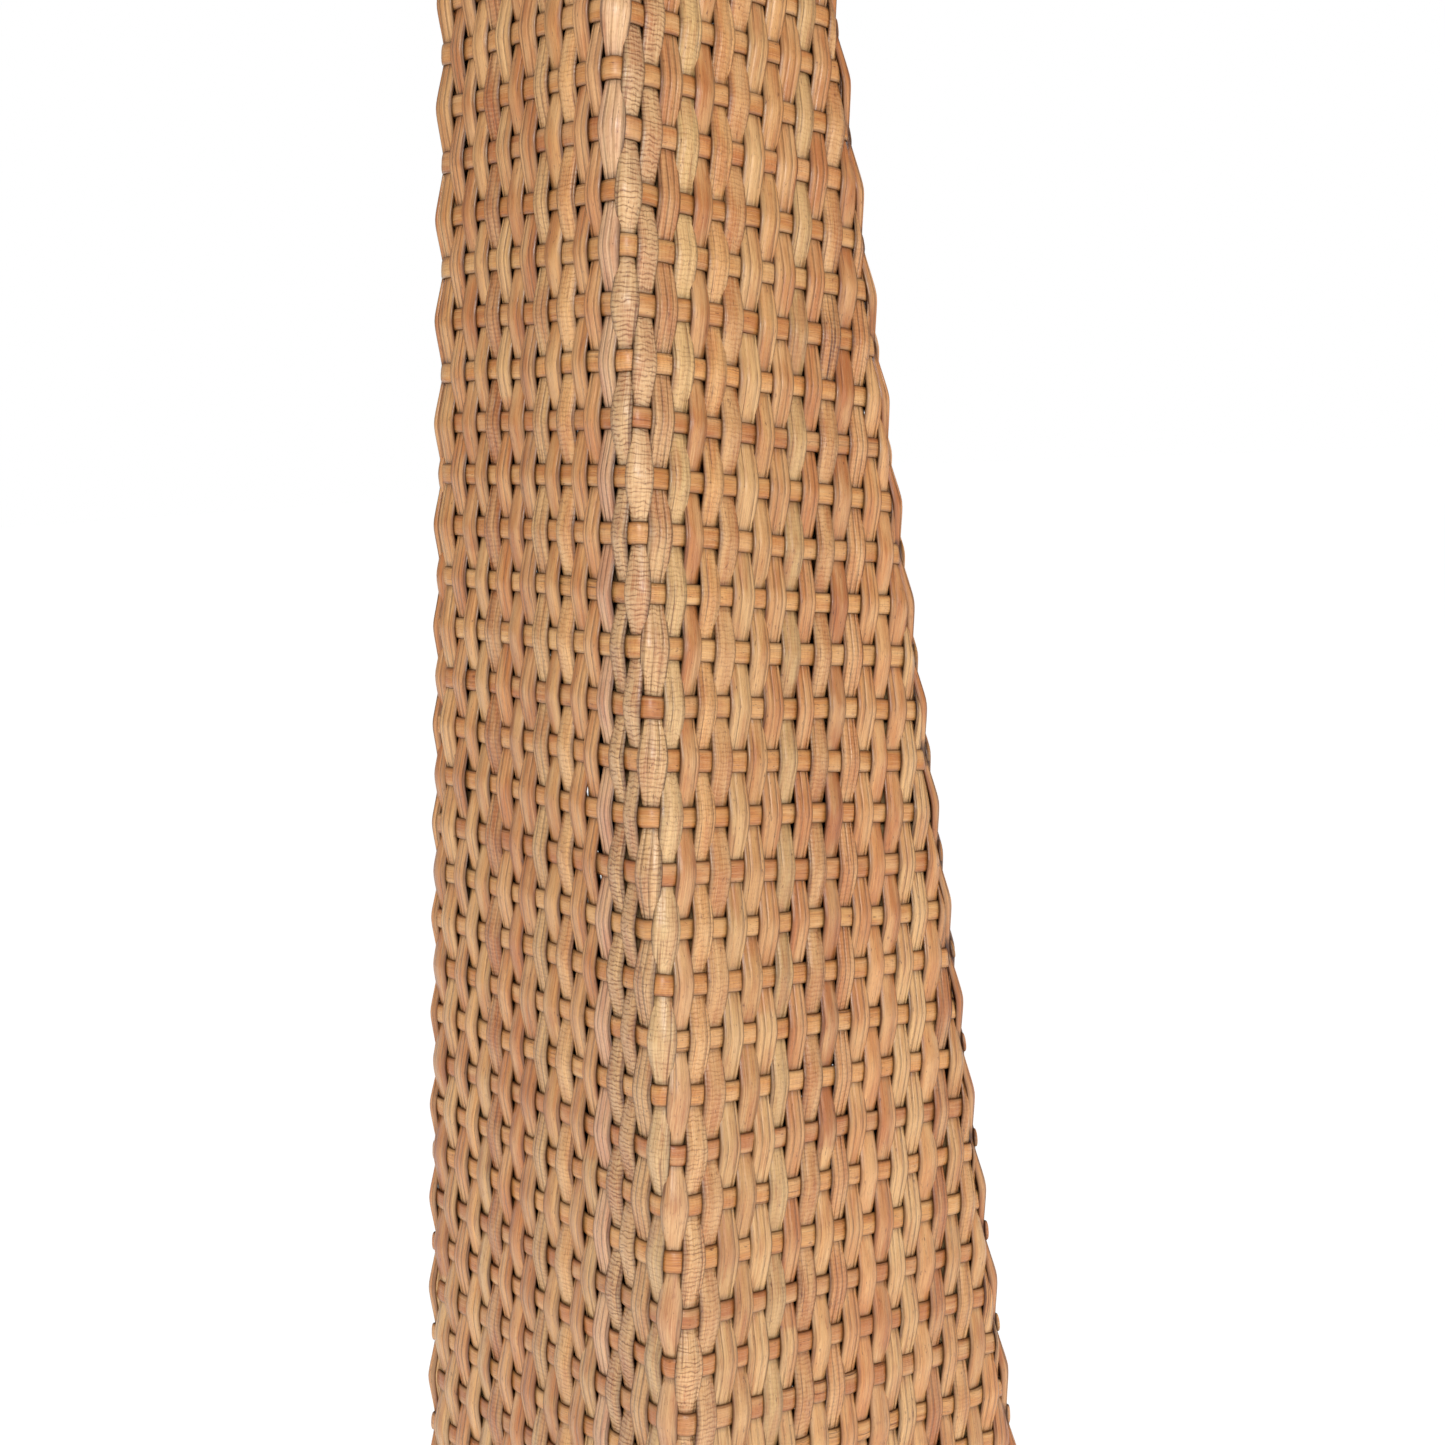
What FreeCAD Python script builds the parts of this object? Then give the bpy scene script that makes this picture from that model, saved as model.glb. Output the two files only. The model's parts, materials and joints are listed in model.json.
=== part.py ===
import FreeCAD, Part
import math
import os

from FreeCAD import Placement, Rotation, Vector

# A floor-standing tiki torch. A tapering square column of woven rattan covers a light wooden frame
# on a ballasted base board. A neck board on top of the column carries a flared head, a wooden frame
# with woven infill, and a steel plate in the head holds a lift-out fuel canister with its burner,
# wick and snuffer.
# Millimetres, +Z up, origin on the ground in the middle of the four feet.

# ---- Driving dimensions ------------------------------------------------------------------------
FOOT_HEIGHT = 10.0
FOOT_RADIUS = 12.0
FOOT_OFFSET = 102.0            # feet centres from the column's axis, along X and Y

BASE_SIDE = 236.0
BASE_THICKNESS = 20.0
BALLAST_SIDE = 150.0
BALLAST_THICKNESS = 12.0

COLUMN_FOOT_WIDTH = 208.0      # across the weave at the base board
COLUMN_TOP_WIDTH = 72.0        # across the weave under the neck board
COLUMN_TAPER = 0.1154          # width lost for each millimetre of height
WEAVE_THICKNESS = 6.0
SKIN_GAP = 0.3                 # between the woven skin and what it is wrapped round
MITRE_GAP = 0.15

POST_SIDE = 14.0
RAIL_SIDE = 12.0
RAIL_LEVELS = {"low": 0.0, "middle": 0.5}   # share of the way up the column
BASE_TRIM_DEPTH = 12.0
BASE_TRIM_HEIGHT = 22.0

NECK_SIDE = 96.0
NECK_THICKNESS = 16.0

HEAD_FOOT_WIDTH = 80.0
HEAD_TOP_WIDTH = 148.0
HEAD_HEIGHT = 120.0
HEAD_POST_SIDE = 12.0
HEAD_PANEL_DEPTH = 1.5         # how far the woven infill lies behind the frame's face
PLATE_SIDE = 146.0
PLATE_THICKNESS = 2.5
RIM_INNER_WIDTH = 114.0
RIM_OUTER_WIDTH = 158.0
RIM_THICKNESS = 9.0

CANISTER_RADIUS = 40.0
CANISTER_DEPTH = 78.0          # below the plate's top face
CANISTER_WALL = 1.0
CANISTER_SEAT_GAP = 1.0        # all round, between the canister and the hole it hangs in
FLANGE_RADIUS = 49.0
FLANGE_THICKNESS = 1.5
SHOULDER_TOP = 10.0            # these heights are above the plate's top face
NECK_RADIUS = 19.0
NECK_TOP = 19.0
GASKET_THICKNESS = 1.5
CAP_THICKNESS = 1.4
CAP_RADIUS = 21.0
CAP_SKIRT = 8.0
TUBE_RADIUS = 6.5
TUBE_BORE = 5.6
TUBE_TOP = 38.0
WICK_RADIUS = 5.2
WICK_TOP = 44.0
WICK_BOTTOM = -66.0
SNUFFER_MOUTH = 16.5
SNUFFER_WAIST = 13.5
SNUFFER_HEIGHT = 37.0
SNUFFER_WALL = 1.0
KNOB_RADIUS = 6.5

SCREW_RADIUS = 2.0
SCREW_HEAD_RADIUS = 4.0
SCREW_HEAD_HEIGHT = 2.4
NAIL_RADIUS = 1.1
HOLE_GAP = 0.1                 # all round, between a screw or nail and its hole

# ---- Levels and widths that follow from them -----------------------------------------------------
COLUMN_BOTTOM = FOOT_HEIGHT + BASE_THICKNESS
COLUMN_TOP = COLUMN_BOTTOM + (COLUMN_FOOT_WIDTH - COLUMN_TOP_WIDTH) / COLUMN_TAPER
HEAD_BOTTOM = COLUMN_TOP + NECK_THICKNESS
HEAD_TOP = HEAD_BOTTOM + HEAD_HEIGHT
PLATE_TOP = HEAD_TOP + PLATE_THICKNESS
HEAD_FLARE = (HEAD_TOP_WIDTH - HEAD_FOOT_WIDTH) / HEAD_HEIGHT

SIDES = {"right": 0.0, "back": 90.0, "left": 180.0, "front": 270.0}      # +X, +Y, -X, -Y
CORNERS = {"back_right": 0.0, "back_left": 90.0, "front_left": 180.0, "front_right": 270.0}


def column_half(z):
    """Half the width across the column's weave at height z."""
    return (COLUMN_FOOT_WIDTH - COLUMN_TAPER * (z - COLUMN_BOTTOM)) / 2


def head_half(z):
    """Half the width across the head's weave at height z."""
    return (HEAD_FOOT_WIDTH + HEAD_FLARE * (z - HEAD_BOTTOM)) / 2


# ---- Shape helpers -------------------------------------------------------------------------------
def turned_to(shape, degrees):
    """A copy of a shape, turned about the column's axis to another side or corner."""
    return shape.copy().transformed(
        Placement(Vector(), Rotation(Vector(0, 0, 1), degrees)).toMatrix()
    )


def between(section, z_low, z_high):
    """The straight-sided solid whose outline at height z is section(z), a list of (x, y)."""
    wires = []
    for z in (z_low, z_high):
        points = [Vector(x, y, z) for x, y in section(z)]
        wires.append(Part.makePolygon(points + points[:1]))
    return Part.makeLoft(wires, True, True)


def side_band(half, depth_out, depth_in, gap):
    """Outline of a mitred strip on the +X side, from depth_out to depth_in inside half(z)."""

    def section(z):
        outer = half(z) - depth_out
        inner = half(z) - depth_in
        return [(inner, gap - inner), (outer, gap - outer), (outer, outer - gap), (inner, inner - gap)]

    return section


def corner_square(half, depth, side):
    """Outline of a square post in the +X +Y corner, its outer faces depth inside half(z)."""

    def section(z):
        outer = half(z) - depth
        inner = outer - side
        return [(inner, inner), (outer, inner), (outer, outer), (inner, outer)]

    return section


def side_bar(half, depth, thickness, post_side):
    """Outline of a rail on the +X side that runs from post to post."""

    def section(z):
        outer = half(z) - depth
        end = outer - post_side
        inner = outer - thickness
        return [(inner, -end), (outer, -end), (outer, end), (inner, end)]

    return section


def rod(start, direction, radius, length):
    return Part.makeCylinder(radius, length, Vector(*start), Vector(*direction))


def screw(start, direction, length, gap=0.0):
    """A countersunk screw with its flat face at start. A gap makes the hole for it instead."""
    way = Vector(*direction)
    head = Part.makeCone(
        SCREW_HEAD_RADIUS + gap, SCREW_RADIUS + gap, SCREW_HEAD_HEIGHT, Vector(*start), way
    )
    shank_start = Vector(*start) + way * SCREW_HEAD_HEIGHT
    shank = Part.makeCylinder(
        SCREW_RADIUS + gap, length - SCREW_HEAD_HEIGHT + gap, shank_start, way
    )
    return head.fuse(shank).removeSplitter()


def turned_profile(points):
    """The solid that a closed outline of (radius, height) sweeps round the column's axis."""
    outline = [Vector(r, 0, z) for r, z in points]
    face = Part.Face(Part.makePolygon(outline + outline[:1]))
    return face.revolve(Vector(), Vector(0, 0, 1), 360)


def four_corners(offset):
    return [(sx * offset, sy * offset) for sx in (-1, 1) for sy in (-1, 1)]


def cut_all(shape, tools):
    return shape.cut(Part.makeCompound(tools)) if tools else shape


# ---- Fasteners: one list of places each, for the parts and for the holes they sit in ---------------
def foot_screws(gap=0.0):
    """Up through each rubber foot into the base board."""
    recess = 4.0
    return [
        screw((x, y, recess), (0, 0, 1), FOOT_HEIGHT - recess + BASE_THICKNESS * 0.7, gap)
        for x, y in four_corners(FOOT_OFFSET)
    ]


def ballast_screws(gap=0.0):
    """Down through the ballast plate into the base board."""
    top = COLUMN_BOTTOM + BALLAST_THICKNESS
    return [
        screw((x, y, top), (0, 0, -1), BALLAST_THICKNESS + BASE_THICKNESS * 0.7, gap)
        for x, y in four_corners(BALLAST_SIDE / 2 - 20.0)
    ]


def frame_screws(gap=0.0):
    """Up through the base board and down through the neck board, into the posts' ends."""
    foot_place = column_half(COLUMN_BOTTOM) - WEAVE_THICKNESS - SKIN_GAP - 10.0
    top_place = column_half(COLUMN_TOP) - WEAVE_THICKNESS - SKIN_GAP - 7.5
    depth_in_post = 30.0
    screws = [
        screw((x, y, FOOT_HEIGHT), (0, 0, 1), BASE_THICKNESS + depth_in_post, gap)
        for x, y in four_corners(foot_place)
    ]
    screws += [
        screw((x, y, HEAD_BOTTOM), (0, 0, -1), NECK_THICKNESS + depth_in_post, gap)
        for x, y in four_corners(top_place)
    ]
    return screws


def rail_bottom(share):
    return COLUMN_BOTTOM + share * (COLUMN_TOP - COLUMN_BOTTOM - RAIL_SIDE)


def frame_nails(gap=0.0):
    """Through each post into the rail's end grain, at two heights so that they miss each other."""
    nails = []
    for share in RAIL_LEVELS.values():
        for turn in SIDES.values():
            for sign, rise in ((-1, 0.28), (1, 0.72)):
                z = rail_bottom(share) + rise * RAIL_SIDE
                outer = column_half(z) - WEAVE_THICKNESS - SKIN_GAP
                start = (outer - 3.5, sign * (outer - 0.5), z)
                nail = rod(start, (0, -sign, 0), NAIL_RADIUS + gap, POST_SIDE + 12.0)
                nails.append(turned_to(nail, turn))
    return nails


def trim_nails(gap=0.0):
    """Through the base trims into the low rails, and down through the rims into the head's rails."""
    nails = []
    for turn in SIDES.values():
        for sign in (-1, 1):
            z = COLUMN_BOTTOM + RAIL_SIDE / 2
            face = COLUMN_FOOT_WIDTH / 2 + SKIN_GAP + BASE_TRIM_DEPTH
            length = BASE_TRIM_DEPTH + WEAVE_THICKNESS + 2 * SKIN_GAP + 9.0
            across = rod((face, sign * 60.0, z), (-1, 0, 0), NAIL_RADIUS + gap, length)
            nails.append(turned_to(across, turn))
            reach = HEAD_TOP_WIDTH / 2 - HEAD_POST_SIDE / 2 - 1.0
            top = (reach, sign * 32.0, PLATE_TOP + RIM_THICKNESS)
            down = rod(top, (0, 0, -1), NAIL_RADIUS + gap, RIM_THICKNESS + PLATE_THICKNESS + 8.0)
            nails.append(turned_to(down, turn))
    return nails


def plate_screws(gap=0.0):
    """Down through the steel plate's corners into the head posts."""
    place = HEAD_TOP_WIDTH / 2 - HEAD_POST_SIDE / 2 - 1.5
    return [screw((x, y, PLATE_TOP), (0, 0, -1), 16.0, gap) for x, y in four_corners(place)]


def head_dowels(gap=0.0):
    """Blind wooden dowels between the neck board and the head posts."""
    place = HEAD_FOOT_WIDTH / 2 - HEAD_POST_SIDE / 2 + 1.5
    radius = 2.5 + gap
    length = 18.0
    return [
        rod((x, y, HEAD_BOTTOM - length / 2), (0, 0, 1), radius, length)
        for x, y in four_corners(place)
    ]


# ---- Base ------------------------------------------------------------------------------------------
def rubber_feet():
    feet = []
    for x, y in four_corners(FOOT_OFFSET):
        foot = rod((x, y, 0), (0, 0, 1), FOOT_RADIUS, FOOT_HEIGHT)
        foot = foot.makeFillet(1.5, [e for e in foot.Edges if abs(e.BoundBox.ZMax) < 0.01])
        pocket = rod((x, y, 0), (0, 0, 1), SCREW_HEAD_RADIUS + 0.5, 4.0)
        feet.append(cut_all(foot.cut(pocket), foot_screws(HOLE_GAP)))
    return feet


def base_board():
    half = BASE_SIDE / 2
    board = Part.makeBox(BASE_SIDE, BASE_SIDE, BASE_THICKNESS, Vector(-half, -half, FOOT_HEIGHT))
    upright = [e for e in board.Edges if e.BoundBox.ZLength > BASE_THICKNESS / 2]
    board = board.makeFillet(8.0, upright)
    top = [e for e in board.Edges if e.BoundBox.ZMin > COLUMN_BOTTOM - 0.01]
    board = board.makeFillet(3.0, top)
    holes = foot_screws(HOLE_GAP) + ballast_screws(HOLE_GAP) + frame_screws(HOLE_GAP)
    return cut_all(board, holes)


def ballast_plate():
    half = BALLAST_SIDE / 2
    plate = Part.makeBox(
        BALLAST_SIDE, BALLAST_SIDE, BALLAST_THICKNESS, Vector(-half, -half, COLUMN_BOTTOM)
    )
    upright = [e for e in plate.Edges if e.BoundBox.ZLength > BALLAST_THICKNESS / 2]
    return cut_all(plate.makeFillet(5.0, upright), ballast_screws(HOLE_GAP))


def base_trim():
    """The +X batten of the mitred frame that covers the weave's lower edge."""
    inner = COLUMN_FOOT_WIDTH / 2 + SKIN_GAP
    outer = inner + BASE_TRIM_DEPTH
    band = side_band(lambda z: outer, 0.0, BASE_TRIM_DEPTH, 0.0)
    bar = between(band, COLUMN_BOTTOM, COLUMN_BOTTOM + BASE_TRIM_HEIGHT)
    crest = [
        e for e in bar.Edges
        if e.BoundBox.ZMin > COLUMN_BOTTOM + BASE_TRIM_HEIGHT - 0.01 and e.BoundBox.XMin > outer - 0.01
    ]
    return cut_all(bar.makeFillet(5.0, crest), trim_nails(HOLE_GAP))


# ---- Column ----------------------------------------------------------------------------------------
def corner_post():
    outline = corner_square(column_half, WEAVE_THICKNESS + SKIN_GAP, POST_SIDE)
    post = between(outline, COLUMN_BOTTOM, COLUMN_TOP)
    return cut_all(post, frame_screws(HOLE_GAP) + frame_nails(HOLE_GAP))


def rail(share):
    outline = side_bar(column_half, WEAVE_THICKNESS + SKIN_GAP, RAIL_SIDE, POST_SIDE)
    low = rail_bottom(share)
    bar = between(outline, low, low + RAIL_SIDE)
    return cut_all(bar, frame_nails(HOLE_GAP) + trim_nails(HOLE_GAP))


def woven_panel():
    """The +X side of the woven skin, as a plain slab."""
    band = side_band(column_half, 0.0, WEAVE_THICKNESS, MITRE_GAP)
    return cut_all(between(band, COLUMN_BOTTOM, COLUMN_TOP), trim_nails(SKIN_GAP))


# ---- Neck and head ---------------------------------------------------------------------------------
def neck_board():
    half = NECK_SIDE / 2
    board = Part.makeBox(NECK_SIDE, NECK_SIDE, NECK_THICKNESS, Vector(-half, -half, COLUMN_TOP))
    upright = [e for e in board.Edges if e.BoundBox.ZLength > NECK_THICKNESS / 2]
    board = board.makeFillet(4.0, upright)
    rims = [e for e in board.Edges if e.BoundBox.ZLength < 0.01]
    board = board.makeFillet(3.0, rims)
    return cut_all(board, frame_screws(HOLE_GAP) + head_dowels(HOLE_GAP))


def head_post():
    outline = corner_square(head_half, 0.0, HEAD_POST_SIDE)
    post = between(outline, HEAD_BOTTOM, HEAD_TOP)
    return cut_all(post, head_dowels(HOLE_GAP) + plate_screws(HOLE_GAP))


def head_rail(bottom):
    outline = side_bar(head_half, 0.0, HEAD_POST_SIDE, HEAD_POST_SIDE)
    bar = between(outline, bottom, bottom + HEAD_POST_SIDE)
    return cut_all(bar, trim_nails(HOLE_GAP))


def head_panel():
    """The +X side's woven infill, as a plain slab inside its frame of posts and rails."""

    def section(z):
        outer = head_half(z) - HEAD_PANEL_DEPTH
        inner = outer - WEAVE_THICKNESS
        end = head_half(z) - HEAD_POST_SIDE - SKIN_GAP
        return [(inner, -end), (outer, -end), (outer, end), (inner, end)]

    low = HEAD_BOTTOM + HEAD_POST_SIDE + SKIN_GAP
    high = HEAD_TOP - HEAD_POST_SIDE - SKIN_GAP
    return between(section, low, high)


def head_plate():
    half = PLATE_SIDE / 2
    plate = Part.makeBox(PLATE_SIDE, PLATE_SIDE, PLATE_THICKNESS, Vector(-half, -half, HEAD_TOP))
    seat = rod((0, 0, HEAD_TOP), (0, 0, 1), CANISTER_RADIUS + CANISTER_SEAT_GAP, PLATE_THICKNESS)
    return cut_all(plate.cut(seat), plate_screws(HOLE_GAP) + trim_nails(HOLE_GAP))


def rim():
    """The +X batten of the mitred frame on top of the head."""
    depth = (RIM_OUTER_WIDTH - RIM_INNER_WIDTH) / 2
    band = side_band(lambda z: RIM_OUTER_WIDTH / 2, 0.0, depth, 0.0)
    bar = between(band, PLATE_TOP, PLATE_TOP + RIM_THICKNESS)
    long_outer = [
        e for e in bar.Edges if e.BoundBox.ZLength < 0.01 and e.BoundBox.XMin > RIM_OUTER_WIDTH / 2 - 0.01
    ]
    return cut_all(bar.makeFillet(3.0, long_outer), trim_nails(HOLE_GAP))


# ---- Fuel canister, burner, wick and snuffer -------------------------------------------------------
def above_plate(points):
    return [(r, PLATE_TOP + z) for r, z in points]


def fuel_canister():
    """A hollow can that hangs in the plate by its flange, with an open neck."""
    wall = CANISTER_WALL
    corner = 5.0
    outside = [
        (0.0, -CANISTER_DEPTH),
        (CANISTER_RADIUS - corner, -CANISTER_DEPTH),
        (CANISTER_RADIUS, corner - CANISTER_DEPTH),
        (CANISTER_RADIUS, 0.0),
        (FLANGE_RADIUS, 0.0),
        (FLANGE_RADIUS, FLANGE_THICKNESS),
        (CANISTER_RADIUS, FLANGE_THICKNESS),
        (NECK_RADIUS + 4.0, SHOULDER_TOP - 1.0),
        (NECK_RADIUS, SHOULDER_TOP),
        (NECK_RADIUS, NECK_TOP),
    ]
    inside = [
        (NECK_RADIUS - wall, NECK_TOP),
        (NECK_RADIUS - wall, SHOULDER_TOP - wall),
        (NECK_RADIUS + 3.6, SHOULDER_TOP - 1.0 - wall),
        (CANISTER_RADIUS - wall, FLANGE_THICKNESS - wall),
        (CANISTER_RADIUS - wall, corner - CANISTER_DEPTH),
        (CANISTER_RADIUS - wall - corner, wall - CANISTER_DEPTH),
        (0.0, wall - CANISTER_DEPTH),
    ]
    return turned_profile(above_plate(outside + inside))


def burner_gasket():
    """The soft ring between the canister's neck and the burner cap."""
    low = NECK_TOP
    high = NECK_TOP + GASKET_THICKNESS
    inner = NECK_RADIUS - 4.5
    ring = [(inner, low), (NECK_RADIUS, low), (NECK_RADIUS, high), (inner, high)]
    return turned_profile(above_plate(ring))


def cap_top():
    return NECK_TOP + GASKET_THICKNESS + CAP_THICKNESS


def burner_cap():
    """A shallow lid whose skirt drops over the canister's neck."""
    under = NECK_TOP + GASKET_THICKNESS
    skirt_inner = NECK_RADIUS + 0.5
    bore = TUBE_RADIUS + HOLE_GAP
    lid = [
        (bore, under),
        (skirt_inner, under),
        (skirt_inner, under - CAP_SKIRT),
        (CAP_RADIUS, under - CAP_SKIRT),
        (CAP_RADIUS, cap_top() - 1.0),
        (CAP_RADIUS - 1.0, cap_top()),
        (bore, cap_top()),
    ]
    return turned_profile(above_plate(lid))


def wick_tube():
    """A tube with a collar that rests on the burner cap."""
    collar = 9.0
    collar_top = cap_top() + 1.5
    tube = [
        (TUBE_BORE, 2.0),
        (TUBE_RADIUS, 2.0),
        (TUBE_RADIUS, cap_top()),
        (collar, cap_top()),
        (collar, collar_top),
        (TUBE_RADIUS, collar_top),
        (TUBE_RADIUS, TUBE_TOP),
        (TUBE_BORE, TUBE_TOP),
    ]
    return turned_profile(above_plate(tube))


def wick():
    body = rod((0, 0, PLATE_TOP + WICK_BOTTOM), (0, 0, 1), WICK_RADIUS, WICK_TOP - WICK_BOTTOM)
    return body.makeFillet(1.2, [e for e in body.Edges if e.BoundBox.ZLength < 0.01])


def snuffer():
    """A bell that stands on the burner cap over the wick."""
    wall = SNUFFER_WALL
    foot = cap_top()
    top = foot + SNUFFER_HEIGHT
    outer = [(SNUFFER_MOUTH, foot), (SNUFFER_MOUTH, foot + 2.0), (SNUFFER_WAIST, foot + 9.0)]
    dome_start = top - 9.0
    steps = 6
    dome = [
        (
            SNUFFER_WAIST * math.cos(math.pi / 2 * i / steps),
            dome_start + 9.0 * math.sin(math.pi / 2 * i / steps),
        )
        for i in range(steps + 1)
    ]
    inner_dome = [
        (
            (SNUFFER_WAIST - wall) * math.cos(math.pi / 2 * i / steps),
            dome_start + (9.0 - wall) * math.sin(math.pi / 2 * i / steps),
        )
        for i in reversed(range(steps + 1))
    ]
    inner = [
        (SNUFFER_WAIST - wall, foot + 9.0 - wall / 3),
        (SNUFFER_MOUTH - wall, foot + 2.0 - wall / 3),
        (SNUFFER_MOUTH - wall, foot),
    ]
    return turned_profile(above_plate(outer + dome + inner_dome + inner))


def snuffer_knob():
    """A turned knob that stands on the snuffer's crown."""
    seat = PLATE_TOP + cap_top() + SNUFFER_HEIGHT
    ball = Part.makeSphere(KNOB_RADIUS, Vector(0, 0, seat + KNOB_RADIUS + 1.5))
    stem = rod((0, 0, seat), (0, 0, 1), 2.6, 4.0)
    return ball.fuse(stem).removeSplitter()


# ---- Nodes -----------------------------------------------------------------------------------------
def all_nodes():
    nodes = {
        "rubber_feet": Part.makeCompound(rubber_feet()),
        "foot_screws": Part.makeCompound(foot_screws()),
        "base_board": base_board(),
        "ballast_plate": ballast_plate(),
        "ballast_screws": Part.makeCompound(ballast_screws()),
        "frame_screws": Part.makeCompound(frame_screws()),
        "frame_nails": Part.makeCompound(frame_nails()),
        "trim_nails": Part.makeCompound(trim_nails()),
        "neck_board": neck_board(),
        "head_dowels": Part.makeCompound(head_dowels()),
        "head_plate": head_plate(),
        "plate_screws": Part.makeCompound(plate_screws()),
        "fuel_canister": fuel_canister(),
        "burner_gasket": burner_gasket(),
        "burner_cap": burner_cap(),
        "wick_tube": wick_tube(),
        "wick": wick(),
        "snuffer": snuffer(),
        "snuffer_knob": snuffer_knob(),
    }
    by_corner = {"corner_post": corner_post(), "head_post": head_post()}
    for corner, turn in CORNERS.items():
        for name, shape in by_corner.items():
            nodes[f"{name}_{corner}"] = turned_to(shape, turn)
    by_side = {
        "woven_panel": woven_panel(),
        "base_trim": base_trim(),
        "head_rail_low": head_rail(HEAD_BOTTOM),
        "head_rail_top": head_rail(HEAD_TOP - HEAD_POST_SIDE),
        "head_panel": head_panel(),
        "rim": rim(),
    }
    for level, share in RAIL_LEVELS.items():
        by_side[f"rail_{level}"] = rail(share)
    for side, turn in SIDES.items():
        for name, shape in by_side.items():
            nodes[f"{name}_{side}"] = turned_to(shape, turn)
    return nodes


def main():
    os.makedirs("parts", exist_ok=True)
    nodes = all_nodes()
    for name, shape in nodes.items():
        if not shape.isValid() or not shape.Solids:
            raise ValueError(f"{name} is not a valid solid")
        shape.exportStep(f"parts/{name}.step")
    print(len(nodes), "nodes")


main()
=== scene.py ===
import json
import math

import bpy
import numpy as np
from mathutils import Matrix, Vector

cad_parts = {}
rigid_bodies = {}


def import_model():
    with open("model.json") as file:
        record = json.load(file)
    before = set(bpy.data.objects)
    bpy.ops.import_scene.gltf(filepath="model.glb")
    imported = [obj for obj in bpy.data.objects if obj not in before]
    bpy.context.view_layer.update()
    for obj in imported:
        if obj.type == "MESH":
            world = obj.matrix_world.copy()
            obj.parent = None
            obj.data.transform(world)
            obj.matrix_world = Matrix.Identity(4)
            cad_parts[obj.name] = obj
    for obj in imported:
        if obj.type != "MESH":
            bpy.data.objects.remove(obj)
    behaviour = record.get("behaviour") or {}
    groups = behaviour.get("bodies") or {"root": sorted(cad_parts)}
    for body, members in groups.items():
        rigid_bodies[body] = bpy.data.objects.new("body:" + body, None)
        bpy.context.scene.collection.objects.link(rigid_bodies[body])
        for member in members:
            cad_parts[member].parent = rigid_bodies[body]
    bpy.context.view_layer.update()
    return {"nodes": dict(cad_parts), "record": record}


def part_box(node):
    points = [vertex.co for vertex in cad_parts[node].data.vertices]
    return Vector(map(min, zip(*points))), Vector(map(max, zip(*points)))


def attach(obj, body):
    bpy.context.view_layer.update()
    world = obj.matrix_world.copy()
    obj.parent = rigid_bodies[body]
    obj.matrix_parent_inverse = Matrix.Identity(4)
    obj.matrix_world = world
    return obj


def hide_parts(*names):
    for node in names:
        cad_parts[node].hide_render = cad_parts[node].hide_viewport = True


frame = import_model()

MM = 0.001

# ---- The column, as the CAD model gives it -------------------------------------------------------
WEAVE_THICKNESS = 6.0 * MM
PANEL_LOW, PANEL_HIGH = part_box("woven_panel_right")
COLUMN_BOTTOM, COLUMN_TOP = PANEL_LOW.z, PANEL_HIGH.z
BOTTOM_HALF = PANEL_HIGH.x
TOP_HALF = PANEL_LOW.x + WEAVE_THICKNESS
LEAN = (BOTTOM_HALF - TOP_HALF) / (COLUMN_TOP - COLUMN_BOTTOM)     # half width lost per height
APEX_Z = COLUMN_BOTTOM + BOTTOM_HALF / LEAN                        # where the four sides would meet
LEAN_ANGLE = math.atan(LEAN)
FACE_ANGLE = 2 * math.atan(LEAN * math.cos(LEAN_ANGLE))            # one unfolded side, at its apex

# ---- The weave -----------------------------------------------------------------------------------
# One flat mat covers two sides and goes round the corner between them. Places on it are (u, v):
# v runs down from the apex along the mat's left edge, u across it to the right.
UPRIGHT_PITCH = 5.36 * MM
UPRIGHT_WIDTH = 6.2 * MM                      # wider than the pitch: neighbours overlap
UPRIGHT_SPREAD = 0.3 * MM                     # wider by this where it passes outside a row
UPRIGHT_PINCH = 0.35 * MM                     # narrower by this where it dips under one
UPRIGHT_LEAN = math.tan(math.radians(1.3))    # an upright moves right as it goes down the mat
UPRIGHT_START = 62.2 * MM                     # an upright would meet the line v = 0 here
UPRIGHT_SWING = 1.1 * MM                      # how far an upright moves out and in
UPRIGHT_CROWN = 0.9 * MM
ROW_PITCH = 13.53 * MM
ROW_HEIGHT = 5.5 * MM
ROW_FALL = math.tan(math.radians(1.9))        # a row rises to the right across the mat
ROW_START = 667.1 * MM                        # a row crosses the mat's left edge here
ROW_SWING = 0.5 * MM
ROW_CROWN = 0.6 * MM
STRAND_BACK = 0.6 * MM
SKIN_DEPTH = UPRIGHT_SWING + UPRIGHT_CROWN    # the mat's middle lies this far inside the CAD face
FOLD_RADIUS = 6.0 * MM                        # the corner in the middle of a mat
FOLD_REACH = math.pi / 4 * (FOLD_RADIUS - SKIN_DEPTH)    # half the length of mat that goes round it
MAT_EDGE = (FOLD_RADIUS - FOLD_REACH) * math.cos(FACE_ANGLE)    # where u is on the left corner
SEAM_RADIUS = 2.5 * MM                        # the corners where the two mats meet
LEFT_OVERHANG = 1.0 * MM                      # how far rows go past the mat's left edge
SEAM_STRAND_WIDER = 1.25                      # the strand that covers a seam, beside the others
END_GAP = 0.15 * MM                           # left between the uprights' ends and the boards
UPRIGHT_INSET = 1.5 * MM                      # uprights are cut here, under the seam strand
RIGHT_OVERHANG = 7.0 * MM                     # the right edge ends under the next mat's seam strand
START_TUCK = 1.3 * MM                         # a new upright comes out from under the seam strand
START_LENGTH = 3.5 * MM
TUCK_START = -5.0 * MM
TUCK_LENGTH = 4.0 * MM
TUCK_DEPTH = 2.4 * MM
RINGS_PER_ROW = 10
RINGS_PER_UPRIGHT = 5
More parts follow.
